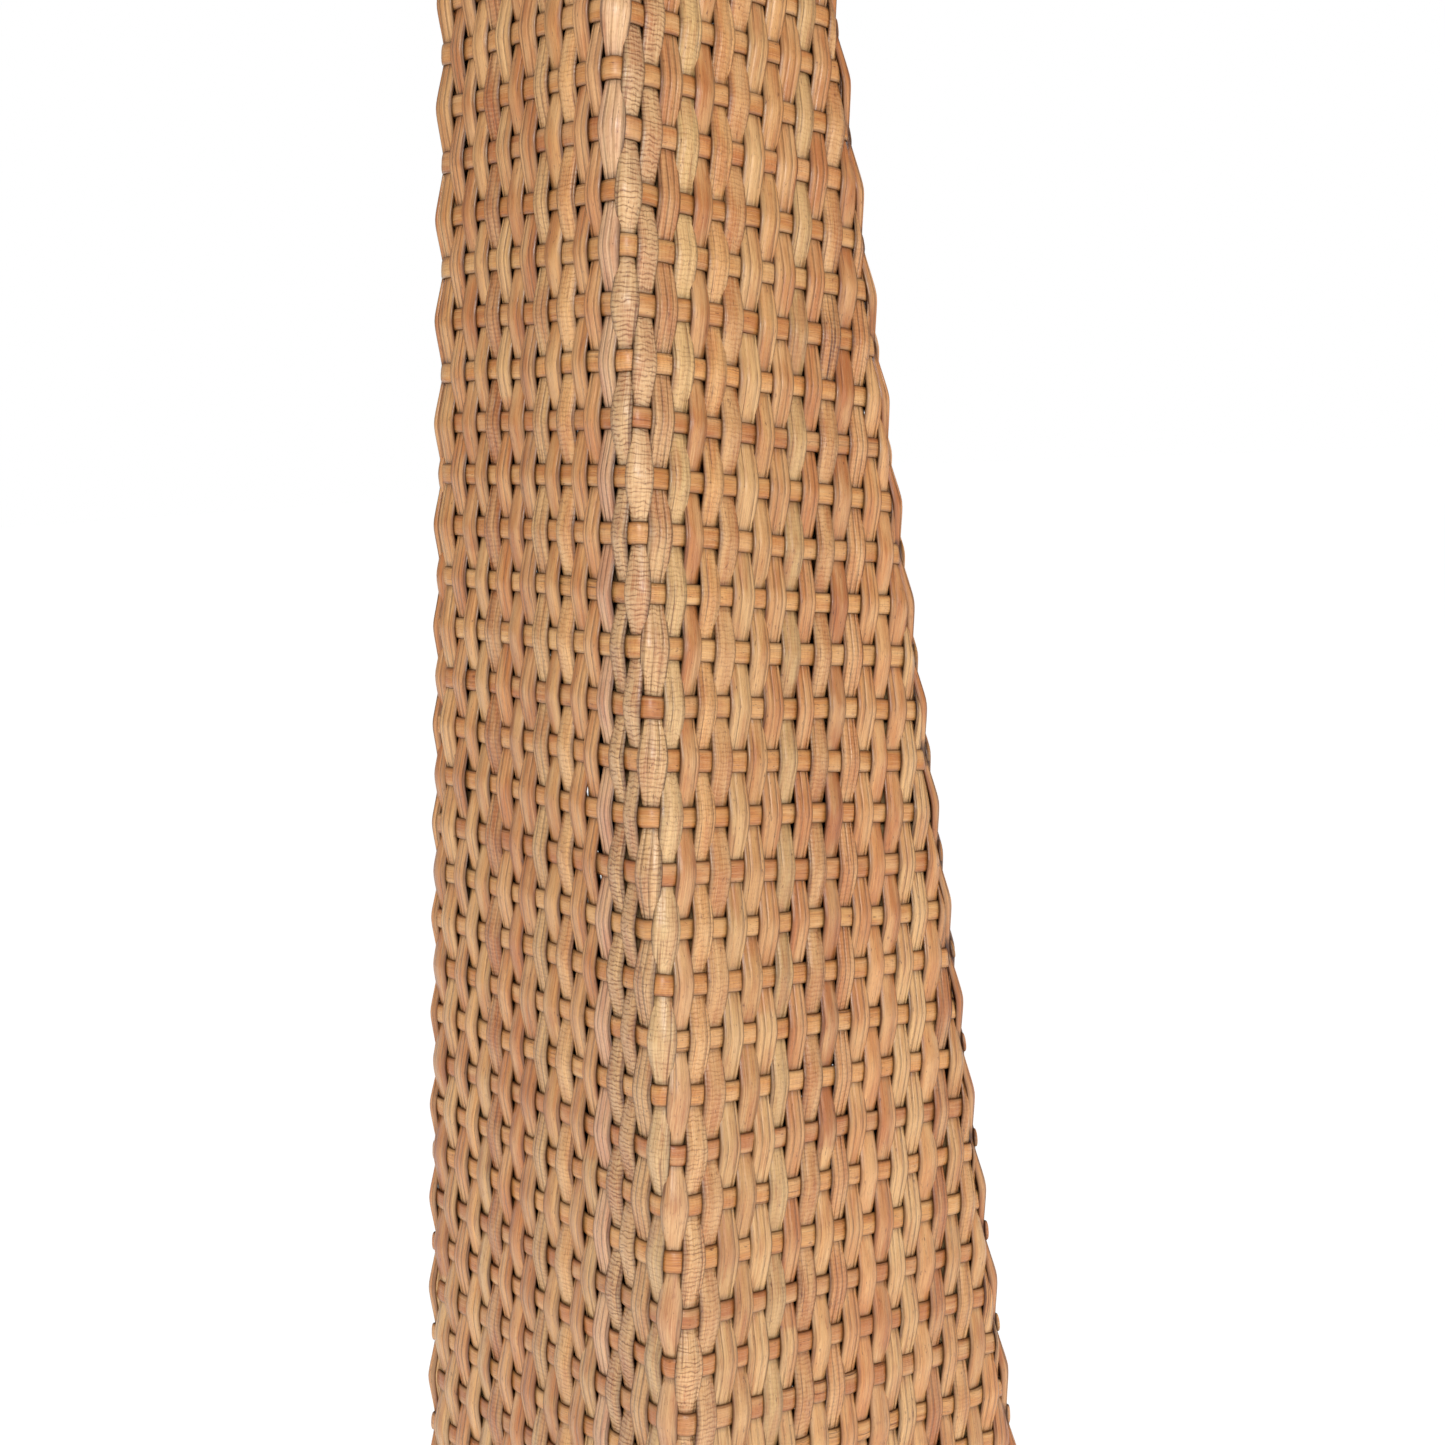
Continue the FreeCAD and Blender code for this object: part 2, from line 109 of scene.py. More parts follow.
BANDS = 4
HEAD_REBATE = 2.2 * MM                        # the head's strands run this far into its frame

# ---- The wick's plait ----------------------------------------------------------------------------
WICK_STRANDS = 6                              # in each direction
WICK_TWIST = 30 * MM                          # one turn of a strand takes this much of the length
WICK_STRAND_WIDTH = 2.6 * MM
WICK_STRAND_OUT = 1.2 * MM                    # from the middle of the strands to the outside
WICK_SWING = 0.45 * MM
WICK_CROWN = 0.6 * MM
WICK_STEP = 0.6 * MM
WICK_END_GAP = 0.3 * MM
WICK_CORE_GAP = 0.2 * MM                      # from the middle of the strands in to the core


def linear(colour):
    """A colour given as 0 to 255 screen values, as the linear values that shaders take."""
    return tuple(
        (c / 255 / 12.92) if c / 255 <= 0.04045 else ((c / 255 + 0.055) / 1.055) ** 2.4
        for c in colour
    )


def smooth(x):
    x = np.clip(x, 0, 1)
    return x * x * (3 - 2 * x)


def mat_angle(u, v):
    """Polar place on the unfolded sides: angle from the mat's left edge and distance from the apex.

    The mat goes round its middle corner on an arc, so it is shorter there than two flat sides."""
    sin_c, cos_c = math.sin(FACE_ANGLE), math.cos(FACE_ANGLE)
    along = u * sin_c + v * cos_c
    across = u * cos_c - v * sin_c
    on_arc = np.abs(across) < FOLD_REACH
    past_arc = across + np.sign(across) * (FOLD_RADIUS - FOLD_REACH)
    across = np.where(on_arc, across * FOLD_RADIUS / FOLD_REACH, past_arc)
    return FACE_ANGLE + np.arctan2(across, along), np.hypot(across, along)


def on_column(u, v, depth):
    """Points of the mat, depth metres out from its middle, and how far each is beyond its edges."""
    phi, rho = mat_angle(u, v)
    face = np.floor(phi / FACE_ANGLE)
    local = phi - (face + 0.5) * FACE_ANGLE
    t = rho * np.sin(local)
    z = APEX_Z - rho * np.cos(local) * math.cos(LEAN_ANGLE)
    by_fold = ((face == 0) & (t > 0)) | ((face == 1) & (t < 0))
    radius = np.where(by_fold, FOLD_RADIUS, SEAM_RADIUS)
    edge = (APEX_Z - z) * LEAN - radius
    over = np.clip(np.abs(t) - edge, 0, radius)
    facing = (face - 1) * math.pi / 2
    heading = facing + np.sign(t) * over / radius * math.pi / 4
    flat_t = np.clip(t, -edge, edge)
    beyond_left = -phi * rho
    beyond_right = (phi - 2 * FACE_ANGLE) * rho
    tuck = TUCK_DEPTH * smooth((beyond_right - TUCK_START) / TUCK_LENGTH)
    out = depth - SKIN_DEPTH - tuck
    reach = radius + out * math.cos(LEAN_ANGLE)
    x = np.cos(facing) * edge - np.sin(facing) * flat_t + reach * np.cos(heading)
    y = np.sin(facing) * edge + np.cos(facing) * flat_t + reach * np.sin(heading)
    place = np.stack([x, y, z + out * math.sin(LEAN_ANGLE)], axis=-1)
    return place, beyond_left, beyond_right


class Wander:
    """A smooth random shift for each line of a set, the same wherever it is asked for."""

    def __init__(self, rng, count, spread, wave, length):
        self.offset = rng.normal(0, spread, count)
        self.wave = rng.uniform(0.4, 1.0, (count, 2)) * wave
        self.phase = rng.uniform(0, 2 * math.pi, (count, 2))
        self.length = rng.uniform(0.6, 1.4, (count, 2)) * length

    def at(self, line, x):
        i = np.clip(line, 0, len(self.offset) - 1)
        total = self.offset[i]
        for k in range(2):
            turns = x / self.length[i, k] * (k + 1)
            total = total + self.wave[i, k] * np.sin(2 * math.pi * turns + self.phase[i, k])
        return total

    def between(self, line, x):
        low = np.floor(line).astype(int)
        part = smooth(line - low)
        return (1 - part) * self.at(low, x) + part * self.at(low + 1, x)


# A strand's section, from one edge over its outer side to the other and back along its inner side:
# across as a share of half its width, out as a share of its crown or, if negative, of its back.
SECTION = np.array([
    (1.0, -0.1), (0.90, 0.44), (0.66, 0.78), (0.30, 0.97), (-0.30, 0.97),
    (-0.66, 0.78), (-0.90, 0.44), (-1.0, -0.1), (-0.8, -1.0), (0.8, -1.0),
])
# How much painted shade each point of the section gets: its edges, and all of its inner side.
EDGE_SHADE = np.clip((np.abs(SECTION[:, 0]) - 0.8) / 0.2, 0, 1) * 0.9 + (SECTION[:, 1] < -0.5)


def strand_rings(u, v, depth, width, crown, roll, put):
    """Rings of a strand that follows (u, v, depth) on a mat, and each point's place across it."""
    du, dv = np.gradient(u), np.gradient(v)
    length = np.hypot(du, dv)
    across = SECTION[:, 0][None, :] * width[:, None] / 2
    tall = np.where(SECTION[:, 1] > 0, crown, STRAND_BACK) * SECTION[:, 1]
    ring_u = u[:, None] + (dv / length)[:, None] * across
    ring_v = v[:, None] - (du / length)[:, None] * across
    ring_depth = depth[:, None] + tall[None, :] + across * np.sin(roll)[:, None]
    return put(ring_u, ring_v, ring_depth), across


class Bundle:
    """Gathers strands and turns them into one mesh with the attributes the rattan shader reads."""

    def __init__(self):
        self.verts, self.faces, self.caps = [], [], []
        self.fibre, self.tone, self.wear = [], [], []
        self.count = 0

    def add(self, rings, fibre, tone, wear, ends):
        n, m = rings.shape[:2]
        index = np.arange(n * m).reshape(n, m) + self.count
        after = np.roll(index, -1, axis=1)
        quads = np.stack([index[:-1], after[:-1], after[1:], index[1:]], axis=-1).reshape(-1, 4)
        self.faces.append(quads)
        if ends[0]:
            self.caps.append(index[0][::-1])
        if ends[1]:
            self.caps.append(index[-1])
        self.verts.append(rings.reshape(-1, 3))
        self.fibre.append(fibre.reshape(-1, 3))
        self.tone.append(tone.reshape(-1, 4))
        self.wear.append(wear.reshape(-1, 3))
        self.count += n * m

    def build(self, name, material):
        verts = np.concatenate(self.verts)
        quads = np.concatenate(self.faces)
        caps = np.array(self.caps, dtype=int).reshape(-1, len(SECTION))
        mesh = bpy.data.meshes.new(name)
        mesh.vertices.add(len(verts))
        mesh.vertices.foreach_set("co", verts.astype(np.float32).ravel())
        loops = np.concatenate([quads.ravel(), caps.ravel()])
        mesh.loops.add(len(loops))
        mesh.loops.foreach_set("vertex_index", loops.astype(np.int32))
        totals = np.concatenate([np.full(len(quads), 4), np.full(len(caps), caps.shape[1])])
        starts = np.concatenate([[0], np.cumsum(totals)[:-1]])
        mesh.polygons.add(len(totals))
        mesh.polygons.foreach_set("loop_start", starts.astype(np.int32))
        mesh.polygons.foreach_set("loop_total", totals.astype(np.int32))
        mesh.update(calc_edges=True)
        mesh.shade_smooth()
        for label, kind, data in (
            ("fibre", "FLOAT_VECTOR", self.fibre),
            ("wear", "FLOAT_VECTOR", self.wear),
            ("tone", "FLOAT_COLOR", self.tone),
        ):
            layer = mesh.attributes.new(label, kind, "POINT")
            field = "color" if kind == "FLOAT_COLOR" else "vector"
            layer.data.foreach_set(field, np.concatenate(data).astype(np.float32).ravel())
        piece = bpy.data.objects.new(name, mesh)
        bpy.context.scene.collection.objects.link(piece)
        mesh.materials.append(material)
        return piece


UPRIGHT_TONES = [
    (212, 150, 92), (218, 160, 102), (224, 174, 116), (214, 154, 98), (206, 140, 84),
    (196, 130, 76), (212, 152, 98), (220, 166, 106), (208, 144, 88), (226, 182, 126),
]
ROW_TONES = [
    (218, 158, 92), (212, 150, 86), (224, 170, 106), (204, 138, 80), (192, 128, 76),
]
CANE_LENGTH = (0.35, 0.9)                     # metres from one splice to the next
FIRST_SPLICE = 0.5                            # metres before the strand's start, at most
BRIGHTNESS_RANGE = (0.9, 1.08)                # of each spliced length
DRIFT = 0.05                                  # how much the tone drifts along a strand
DRIFT_LENGTH = 0.11
TONE_SHIFT = (0.97, 0.90, 0.79)               # of every strand, towards orange
BENT_TONE = (236, 202, 158)                   # cane goes pale where it was bent round the corner
BENT_PALER = 0.35                             # share of that tone right at the corner
BENT_CRACKS = 0.5                             # how much more cracked it is there
BEND_REACH = 9 * MM                           # how far from the corner the bend shows
CRACK_RANGE = (-1.3, 0.5)                     # how cracked an upright is; below 0 it has no cracks
RIDGE_RANGE = (0.8, 3.2)                      # how ridged an upright is; below 1 it is smooth
ANY_PHASE = (0, 6.28)
# Widths and crowns vary from strand to strand by these shares, and rolls by a wave, its length in
# metres and a spread.
UPRIGHT_SPREADS = (0.93, 1.08)
ROW_SPREADS = (0.93, 1.07)
HEAD_SPREADS = (0.94, 1.06)
CROWN_SPREAD = (0.9, 1.1)
UPRIGHT_ROLL = (0.06, 40 * MM, 0.04)
ROW_ROLL = (0.05, 35 * MM, 0.03)
HEAD_ROLL = 0.04
KINK = 0.92                                   # how sharp a stiff strand's crests are, below 1
# Shares of a strand's swing: it gets painted shade from this far inside, fully so after the fade,
# and it is at its narrowest at the full dip.
SUNK_FROM = 0.45
SUNK_FADE = 0.5
FULL_DIP = 0.7
SUNK_SHADE = 0.8
PINKISH_TONES = [(222, 178, 146), (216, 170, 138)]
STRAW_TONES = [(218, 184, 128), (212, 176, 122)]
GREYED_TONES = [(206, 164, 118), (200, 156, 110)]
# A few uprights stand out: number, tones, how cracked and how many grooves.
MARKED_UPRIGHTS = {
    0: (PINKISH_TONES, 0.1, 3.0),
    1: (GREYED_TONES, 0.9, 1.2),
    2: (GREYED_TONES, 0.8, 0.8),
    4: (STRAW_TONES, 0.4, 1.5),
    11: (STRAW_TONES, 0.2, 1.6),
}


def strand_tone(rng, palette, length, steps):
    """Colour along a strand: one tone for each spliced length of cane, with a slow drift."""
    places = np.linspace(0, length, steps)
    tone = np.zeros((steps, 3))
    start = -rng.uniform(0, FIRST_SPLICE)
    while start < length:
        end = start + rng.uniform(*CANE_LENGTH)
        colour = np.array(linear(palette[rng.integers(len(palette))])) * TONE_SHIFT
        colour = colour * rng.uniform(*BRIGHTNESS_RANGE)
        tone[(places >= start) & (places < end)] = colour
        start = end
    drift = 1 + DRIFT * np.sin(places / DRIFT_LENGTH + rng.uniform(*ANY_PHASE))
    return tone * drift[:, None]


def recess(swing):
    """How much painted shade each point of a strand's rings gets, from 0 on its crests to 1 under
    others.
    """
    painted_sunk_shade = smooth((-SUNK_FROM - swing) / SUNK_FADE)[:, None]
    return np.clip(SUNK_SHADE * painted_sunk_shade + EDGE_SHADE[None, :], 0, 1)


def longest_run(mask):
    """The longest unbroken stretch where mask is true, as a slice."""
    edges = np.flatnonzero(np.diff(np.concatenate([[0], mask.astype(int), [0]])))
    if not len(edges):
        return slice(0, 0)
    starts, ends = edges[::2], edges[1::2]
    k = np.argmax(ends - starts)
    return slice(starts[k], ends[k])


def kinked(angle):
    """A cosine with its crests sharpened, as a stiff strand bends over the one it crosses."""
    return np.arcsin(KINK * np.cos(angle)) / math.asin(KINK)


def slow_roll(rng, places, wave, reach, spread):
    """How far a strand is rolled about its own line, in radians: a slow wave about its own lean."""
    return wave * np.sin(places / reach + rng.uniform(*ANY_PHASE)) + rng.normal(0, spread)


def path_length(u, v):
    return np.concatenate([[0], np.cumsum(np.hypot(np.diff(u), np.diff(v)))])


def add_strand(bundle, strand, first=0, last=None):
    """Puts part of a strand, ring first up to ring last, into a bundle."""
    last = len(strand["length"]) if last is None else last
    rings = strand["rings"][first:last]
    n, m = rings.shape[:2]
    across = strand["across"][first:last] / MM
    along = np.repeat((strand["length"][first:last] / MM)[:, None], m, axis=1)
    fibre = np.stack([across, along, np.full((n, m), strand["seed"])], axis=-1)
    tone = np.repeat(strand["tone"][first:last][:, None, :], m, axis=1)
    # The fourth value of the tone is the painted shade.
    tone = np.concatenate([tone, strand["recess"][first:last][..., None]], axis=-1)
    cracks, ridges, rough = strand["wear"]
    cracks = np.repeat(cracks[first:last][:, None], m, axis=1)
    wear = np.stack([cracks, np.full((n, m), ridges), np.full((n, m), rough)], axis=-1)
    ends = (first == 0, last >= len(strand["length"]))
    bundle.add(rings, fibre, tone, wear, ends)


def turned(points, angle):
    """Points turned about the column's axis."""
    cos_a, sin_a = math.cos(angle), math.sin(angle)
    x, y, z = points[..., 0], points[..., 1], points[..., 2]
    return np.stack([cos_a * x - sin_a * y, sin_a * x + cos_a * y, z], axis=-1)


def hand_over(piece, body, slot, *nodes):
    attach(piece, body)
    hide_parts(*nodes)


class ColumnMat:
    """One mat of the column's skin: half the column, two sides and the corner between them."""

    def __init__(self, seed, turn, sides):
        rng = np.random.default_rng(seed)
        self.seed = seed
        self.turn = turn
        self.sides = sides
        self.rows_low = math.floor((APEX_Z - COLUMN_TOP - ROW_START) / ROW_PITCH) - 2
        self.row_count = math.ceil((COLUMN_TOP - COLUMN_BOTTOM) / ROW_PITCH) + 8
        self.uprights_low = -math.ceil((UPRIGHT_START + 60 * MM) / UPRIGHT_PITCH)
        self.upright_count = math.ceil(4 * BOTTOM_HALF / UPRIGHT_PITCH) + 12
        self.row_wander = Wander(rng, self.row_count, 0.22 * MM, 0.3 * MM, 120 * MM)
        self.upright_wander = Wander(rng, self.upright_count, 0.15 * MM, 0.2 * MM, 150 * MM)

    def outside(self, i, j):
        """1 where upright i passes outside row j, -1 where it passes inside."""
        return np.where((i + j) % 2 == 0, 1.0, -1.0)

    def kept(self, u, v, margin, overhang):
        place, beyond_left, beyond_right = on_column(u, v, np.zeros_like(u))
        inside = (beyond_left < overhang) & (beyond_right < RIGHT_OVERHANG)
        z = place[:, 2]
        return longest_run(inside & (z > COLUMN_BOTTOM + margin) & (z < COLUMN_TOP - margin))

    def upright(self, number):
        """One upright. Number 0 is the seam strand, down the left edge and over the cut ends."""
        rng = np.random.default_rng([self.seed, 1, number])
        i = number + self.uprights_low
        r = np.arange(0, self.row_count * RINGS_PER_ROW) / RINGS_PER_ROW + self.rows_low
        u0 = UPRIGHT_START + i * UPRIGHT_PITCH
        v = (ROW_START + r * ROW_PITCH - u0 * ROW_FALL) / (1 + UPRIGHT_LEAN * ROW_FALL)
        u = u0 + v * UPRIGHT_LEAN
        u = u + self.upright_wander.at(np.full(len(r), number), v)
        overhang = -UPRIGHT_INSET
        if number == 0:
            v = ROW_START + r * ROW_PITCH - MAT_EDGE * ROW_FALL
            u = np.full_like(v, MAT_EDGE)
            overhang = LEFT_OVERHANG
        v = v + self.row_wander.between(r - self.rows_low, u)
        part = self.kept(u, v, END_GAP, overhang)
        u, v, r = u[part], v[part], r[part]
        if len(u) < 5:
            return None
        swing = kinked(math.pi * r) * self.outside(i, 0)
        wide = UPRIGHT_WIDTH * rng.uniform(*UPRIGHT_SPREADS)
        if number == 0:
            wide = wide * SEAM_STRAND_WIDER
        dip = np.clip(-swing, 0, FULL_DIP) / FULL_DIP
        width = wide + UPRIGHT_SPREAD * np.clip(swing, 0, 1) - UPRIGHT_PINCH * dip**3
        depth = UPRIGHT_SWING * swing
        if number > 0:
            inside = -on_column(u, v, depth)[1]
            depth = depth - START_TUCK * (1 - smooth((inside - UPRIGHT_INSET) / START_LENGTH))
        roll = slow_roll(rng, v, *UPRIGHT_ROLL)
        crown = UPRIGHT_CROWN * rng.uniform(*CROWN_SPREAD)
        rings, across = strand_rings(u, v, depth, width, crown, roll, self.put)
        length = path_length(u, v)
        corner = np.abs(u - math.tan(FACE_ANGLE) * v) / BEND_REACH
        bent = np.exp(-corner * corner)[:, None]
        cracks = np.clip(rng.uniform(*CRACK_RANGE) + BENT_CRACKS * bent[:, 0], 0, 1)
        ridges, rough, palette = rng.uniform(*RIDGE_RANGE), rng.uniform(0, 1) ** 2, UPRIGHT_TONES
        if i in MARKED_UPRIGHTS:
            palette, crack_level, ridges = MARKED_UPRIGHTS[i]
            cracks = np.full(len(u), crack_level)
        tone = strand_tone(rng, palette, length[-1] + 0.01, len(length))
        tone = tone * (1 - BENT_PALER * bent) + np.array(linear(BENT_TONE)) * BENT_PALER * bent
        return {
            "rings": rings, "across": across, "length": length,
            "row": r - self.rows_low, "first_side": (u / v) < math.tan(FACE_ANGLE),
            "tone": tone,
            "wear": (cracks, ridges, rough), "seed": rng.uniform(0, 50),
            "recess": recess(swing),
        }

    def row(self, number):
        rng = np.random.default_rng([self.seed, 2, number])
        j = number + self.rows_low
        steps = self.upright_count * RINGS_PER_UPRIGHT
        s = np.arange(0, steps) / RINGS_PER_UPRIGHT + self.uprights_low
        v_row = ROW_START + j * ROW_PITCH
        u = UPRIGHT_START + s * UPRIGHT_PITCH + v_row * UPRIGHT_LEAN
        u = u / (1 + UPRIGHT_LEAN * ROW_FALL)
        v = v_row - u * ROW_FALL
        v = v + self.row_wander.at(np.full(len(s), number), u)
        u = u + self.upright_wander.between(s - self.uprights_low, v)
        part = self.kept(u, v, ROW_HEIGHT / 2, LEFT_OVERHANG)
        u, v, s = u[part], v[part], s[part]
        if len(u) < 8:
            return None
        depth = -ROW_SWING * np.cos(math.pi * s) * self.outside(0, j)
        width = np.full(len(s), ROW_HEIGHT * rng.uniform(*ROW_SPREADS))
        roll = slow_roll(rng, u, *ROW_ROLL)
        rings, across = strand_rings(u, v, depth, width, ROW_CROWN, roll, self.put)
        length = path_length(u, v)
        return {
            "rings": rings, "across": across, "length": length,
            "tone": strand_tone(rng, ROW_TONES, length[-1] + 0.01, len(length)),
            "wear": (np.full(len(length), rng.uniform(0, 0.25)), 0.0, rng.uniform(0, 1) ** 3),
            "seed": rng.uniform(50, 100), "recess": recess(depth / ROW_SWING),
        }

    def put(self, u, v, depth):
        return turned(on_column(u, v, depth)[0], self.turn)

    def build(self, material):
        """The mat's pieces: uprights by side and height band, rows by height band."""
        rows_each = self.row_count / BANDS
        uprights = {(side, k): Bundle() for side in self.sides for k in range(BANDS)}
        for number in range(self.upright_count):
            strand = self.upright(number)
            if strand is None:
                continue
            band = np.clip((strand["row"] / rows_each).astype(int), 0, BANDS - 1)
            for k in range(BANDS):
                picks = np.flatnonzero(band == k)
                if len(picks) > 3:
                    on_first = strand["first_side"][picks].mean() > 0.5
                    side = self.sides[0] if on_first else self.sides[1]
                    last = min(picks[-1] + 2, len(band))
                    add_strand(uprights[side, k], strand, picks[0], last)
        rows = [Bundle() for _ in range(BANDS)]
        for number in range(self.row_count):
            strand = self.row(number)
            if strand is not None:
                k = min(int(number / rows_each), BANDS - 1)
                add_strand(rows[k], strand)
        panels = [f"woven_panel_{side}" for side in self.sides]
        for (side, k), bundle in uprights.items():
            piece = bundle.build(f"woven_uprights_{side}_{k + 1}", material)
            hand_over(piece, "root", "rattan", f"woven_panel_{side}")
        for k, bundle in enumerate(rows):
            piece = bundle.build(f"woven_rows_{'_'.join(self.sides)}_{k + 1}", material)
            hand_over(piece, "root", "rattan", *panels)


class HeadInfill:
    """The weave in one side of the head's frame: a leaning trapezoid of uprights and level rows."""

    def __init__(self, side, turn):
        self.side, self.turn = side, turn
        low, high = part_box("head_panel_right")
        self.low, self.high = low.z, high.z
        self.outer, self.half = high.x, high.y
        self.flare = (high.x - low.x - WEAVE_THICKNESS) / (high.z - low.z)

    def put(self, u, v, depth):
        x = self.outer - v * self.flare - SKIN_DEPTH + depth
        return turned(np.stack([x, u, self.high - v], axis=-1), self.turn)

    def half_at(self, v):
        return self.half - v * self.flare

    def strand(self, rng, u, v, swing, upright):
        size, travel, crown, palette = (
            (UPRIGHT_WIDTH, UPRIGHT_SWING, UPRIGHT_CROWN, UPRIGHT_TONES) if upright
            else (ROW_HEIGHT, ROW_SWING, ROW_CROWN, ROW_TONES)
        )
        width = np.full(len(u), size * rng.uniform(*HEAD_SPREADS))
        roll = np.full(len(u), rng.normal(0, HEAD_ROLL))
        rings, across = strand_rings(u, v, travel * swing, width, crown, roll, self.put)
        length = path_length(u, v)
        cracks = np.full(len(u), np.clip(rng.uniform(*CRACK_RANGE), 0, 1))
        ridges = rng.uniform(*RIDGE_RANGE) if upright else 0.0
        return {
            "rings": rings, "across": across, "length": length,
            "tone": strand_tone(rng, palette, length[-1] + 0.01, len(length)),
            "wear": (cracks, ridges, rng.uniform(0, 1) ** 2),
            "seed": rng.uniform(0, 100), "recess": recess(swing),
        }

    def build(self, material):
        bundle = Bundle()
        rng = np.random.default_rng([41, round(self.turn * 10)])
        height = self.high - self.low
        count = math.ceil(self.half / UPRIGHT_PITCH)
        for i in range(-count, count + 1):
            v = np.arange(-HEAD_REBATE, height + HEAD_REBATE, ROW_PITCH / RINGS_PER_ROW)
            u = np.full(len(v), i * UPRIGHT_PITCH + rng.normal(0, 0.15 * MM))
            inside = np.abs(u) < self.half_at(v) + HEAD_REBATE
            if inside.sum() < 5:
                continue
            u, v = u[inside], v[inside]
            swing = kinked(math.pi * v / ROW_PITCH) * (1 if i % 2 else -1)
            add_strand(bundle, self.strand(rng, u, v, swing, True))
        for j in range(1, math.floor(height / ROW_PITCH)):
            reach = self.half_at(j * ROW_PITCH) + HEAD_REBATE
            steps = math.ceil(2 * reach / UPRIGHT_PITCH * RINGS_PER_UPRIGHT)
            u = np.linspace(-reach, reach, steps)
            v = np.full(steps, j * ROW_PITCH)
            swing = np.cos(math.pi * u / UPRIGHT_PITCH) * (1 if j % 2 else -1)
            add_strand(bundle, self.strand(rng, u, v, swing, False))
        piece = bundle.build(f"head_weave_{self.side}", material)
        hand_over(piece, "root", "rattan", f"head_panel_{self.side}")


def plaited_wick(material):
    """The cotton wick: strands plaited round a core, six each way."""
    low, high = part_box("wick")
    middle = high.x - WICK_STRAND_OUT

    def put(u, v, depth):
        angle = u / middle
        out = middle + depth
        return np.stack([out * np.cos(angle), out * np.sin(angle), high.z - v], axis=-1)

    bundle = Bundle()
    length = high.z - low.z
    v = np.arange(WICK_END_GAP, length - WICK_END_GAP, WICK_STEP)
    for hand in (1, -1):
        for k in range(WICK_STRANDS):
            start = 2 * math.pi * middle * k / WICK_STRANDS
            u = hand * v / WICK_TWIST * 2 * math.pi * middle + start
            swing = hand * np.cos(math.pi * 2 * WICK_STRANDS * v / WICK_TWIST)
            width = np.full(len(v), WICK_STRAND_WIDTH)
            rings, across = strand_rings(
                u, v, WICK_SWING * swing, width, WICK_CROWN, np.zeros(len(v)), put
            )
            add_strand(bundle, {
                "rings": rings, "across": across, "length": path_length(u, v),
                "tone": np.ones((len(v), 3)), "wear": (np.zeros(len(v)), 0.0, 0.0),
                "seed": 3.0 * k + hand, "recess": recess(swing),
            })
    # The core under the strands, all in painted shade.
    core = (middle - WICK_CORE_GAP) * np.ones((len(v), len(SECTION), 1))
    turn = -np.linspace(0, 2 * math.pi, len(SECTION), endpoint=False)
    ring = np.stack([np.cos(turn), np.sin(turn)], axis=-1)[None, :, :] * core
    rise = np.repeat((high.z - v)[:, None, None], len(SECTION), axis=1)
    add_strand(bundle, {
        "rings": np.concatenate([ring, rise], axis=-1),
        "across": np.tile(turn * middle, (len(v), 1)), "length": v,
        "tone": np.ones((len(v), 3)), "wear": (np.zeros(len(v)), 0.0, 0.0),
        "seed": 90.0, "recess": np.ones((len(v), len(SECTION))),
    })
    hand_over(bundle.build("plaited_wick", material), "wick", "wick_fibre", "wick")


# ---- Materials -----------------------------------------------------------------------------------
class Nodes:
    """A short way to write a node tree."""

    def __init__(self, name):
        self.material = bpy.data.materials.new(name)
        self.material.use_nodes = True
        self.tree = self.material.node_tree
        self.shader = self.tree.nodes["Principled BSDF"]

    def add(self, kind, **settings):
        node = self.tree.nodes.new(kind)
        for key, value in settings.items():
            setattr(node, key, value)
        return node

    def link(self, source, target):
        self.tree.links.new(source, target)

    def put(self, value, socket):
        if isinstance(value, bpy.types.NodeSocket):
            self.link(value, socket)
        else:
            socket.default_value = value

    def math(self, operation, a, b):
        node = self.add("ShaderNodeMath", operation=operation)
        self.put(a, node.inputs[0])
        self.put(b, node.inputs[1])
        return node.outputs[0]

    def attribute(self, name):
        return self.add("ShaderNodeAttribute", attribute_name=name)

    def scaled(self, vector, factors):
        node = self.add("ShaderNodeVectorMath", operation="MULTIPLY")
        self.put(vector, node.inputs[0])
        node.inputs[1].default_value = factors
        return node.outputs[0]

    def noise(self, vector, scale=1.0, detail=2.0, roughness=0.5):
        node = self.add("ShaderNodeTexNoise")
        self.put(vector, node.inputs["Vector"])
        node.inputs["Scale"].default_value = scale
        node.inputs["Detail"].default_value = detail
        node.inputs["Roughness"].default_value = roughness
        return node.outputs["Fac"]

    def ramp(self, value, low, high, to_low=0.0, to_high=1.0):
        node = self.add("ShaderNodeMapRange", interpolation_type="SMOOTHSTEP")
        self.put(value, node.inputs["Value"])
        node.inputs["From Min"].default_value = low
        node.inputs["From Max"].default_value = high
        node.inputs["To Min"].default_value = to_low
        node.inputs["To Max"].default_value = to_high
        return node.outputs["Result"]

    def mix(self, factor, a, b):
        node = self.add("ShaderNodeMix", data_type="RGBA")
        self.put(factor, node.inputs[0])
        for value, socket in ((a, node.inputs[6]), (b, node.inputs[7])):
            if isinstance(value, tuple):
                value = (*value, 1.0) if len(value) == 3 else value
            self.put(value, socket)
        return node.outputs[2]

    def bump(self, height, distance):
        node = self.add("ShaderNodeBump")
        self.put(height, node.inputs["Height"])
        node.inputs["Distance"].default_value = distance
        node.inputs["Strength"].default_value = 1.0
        return node.outputs["Normal"]


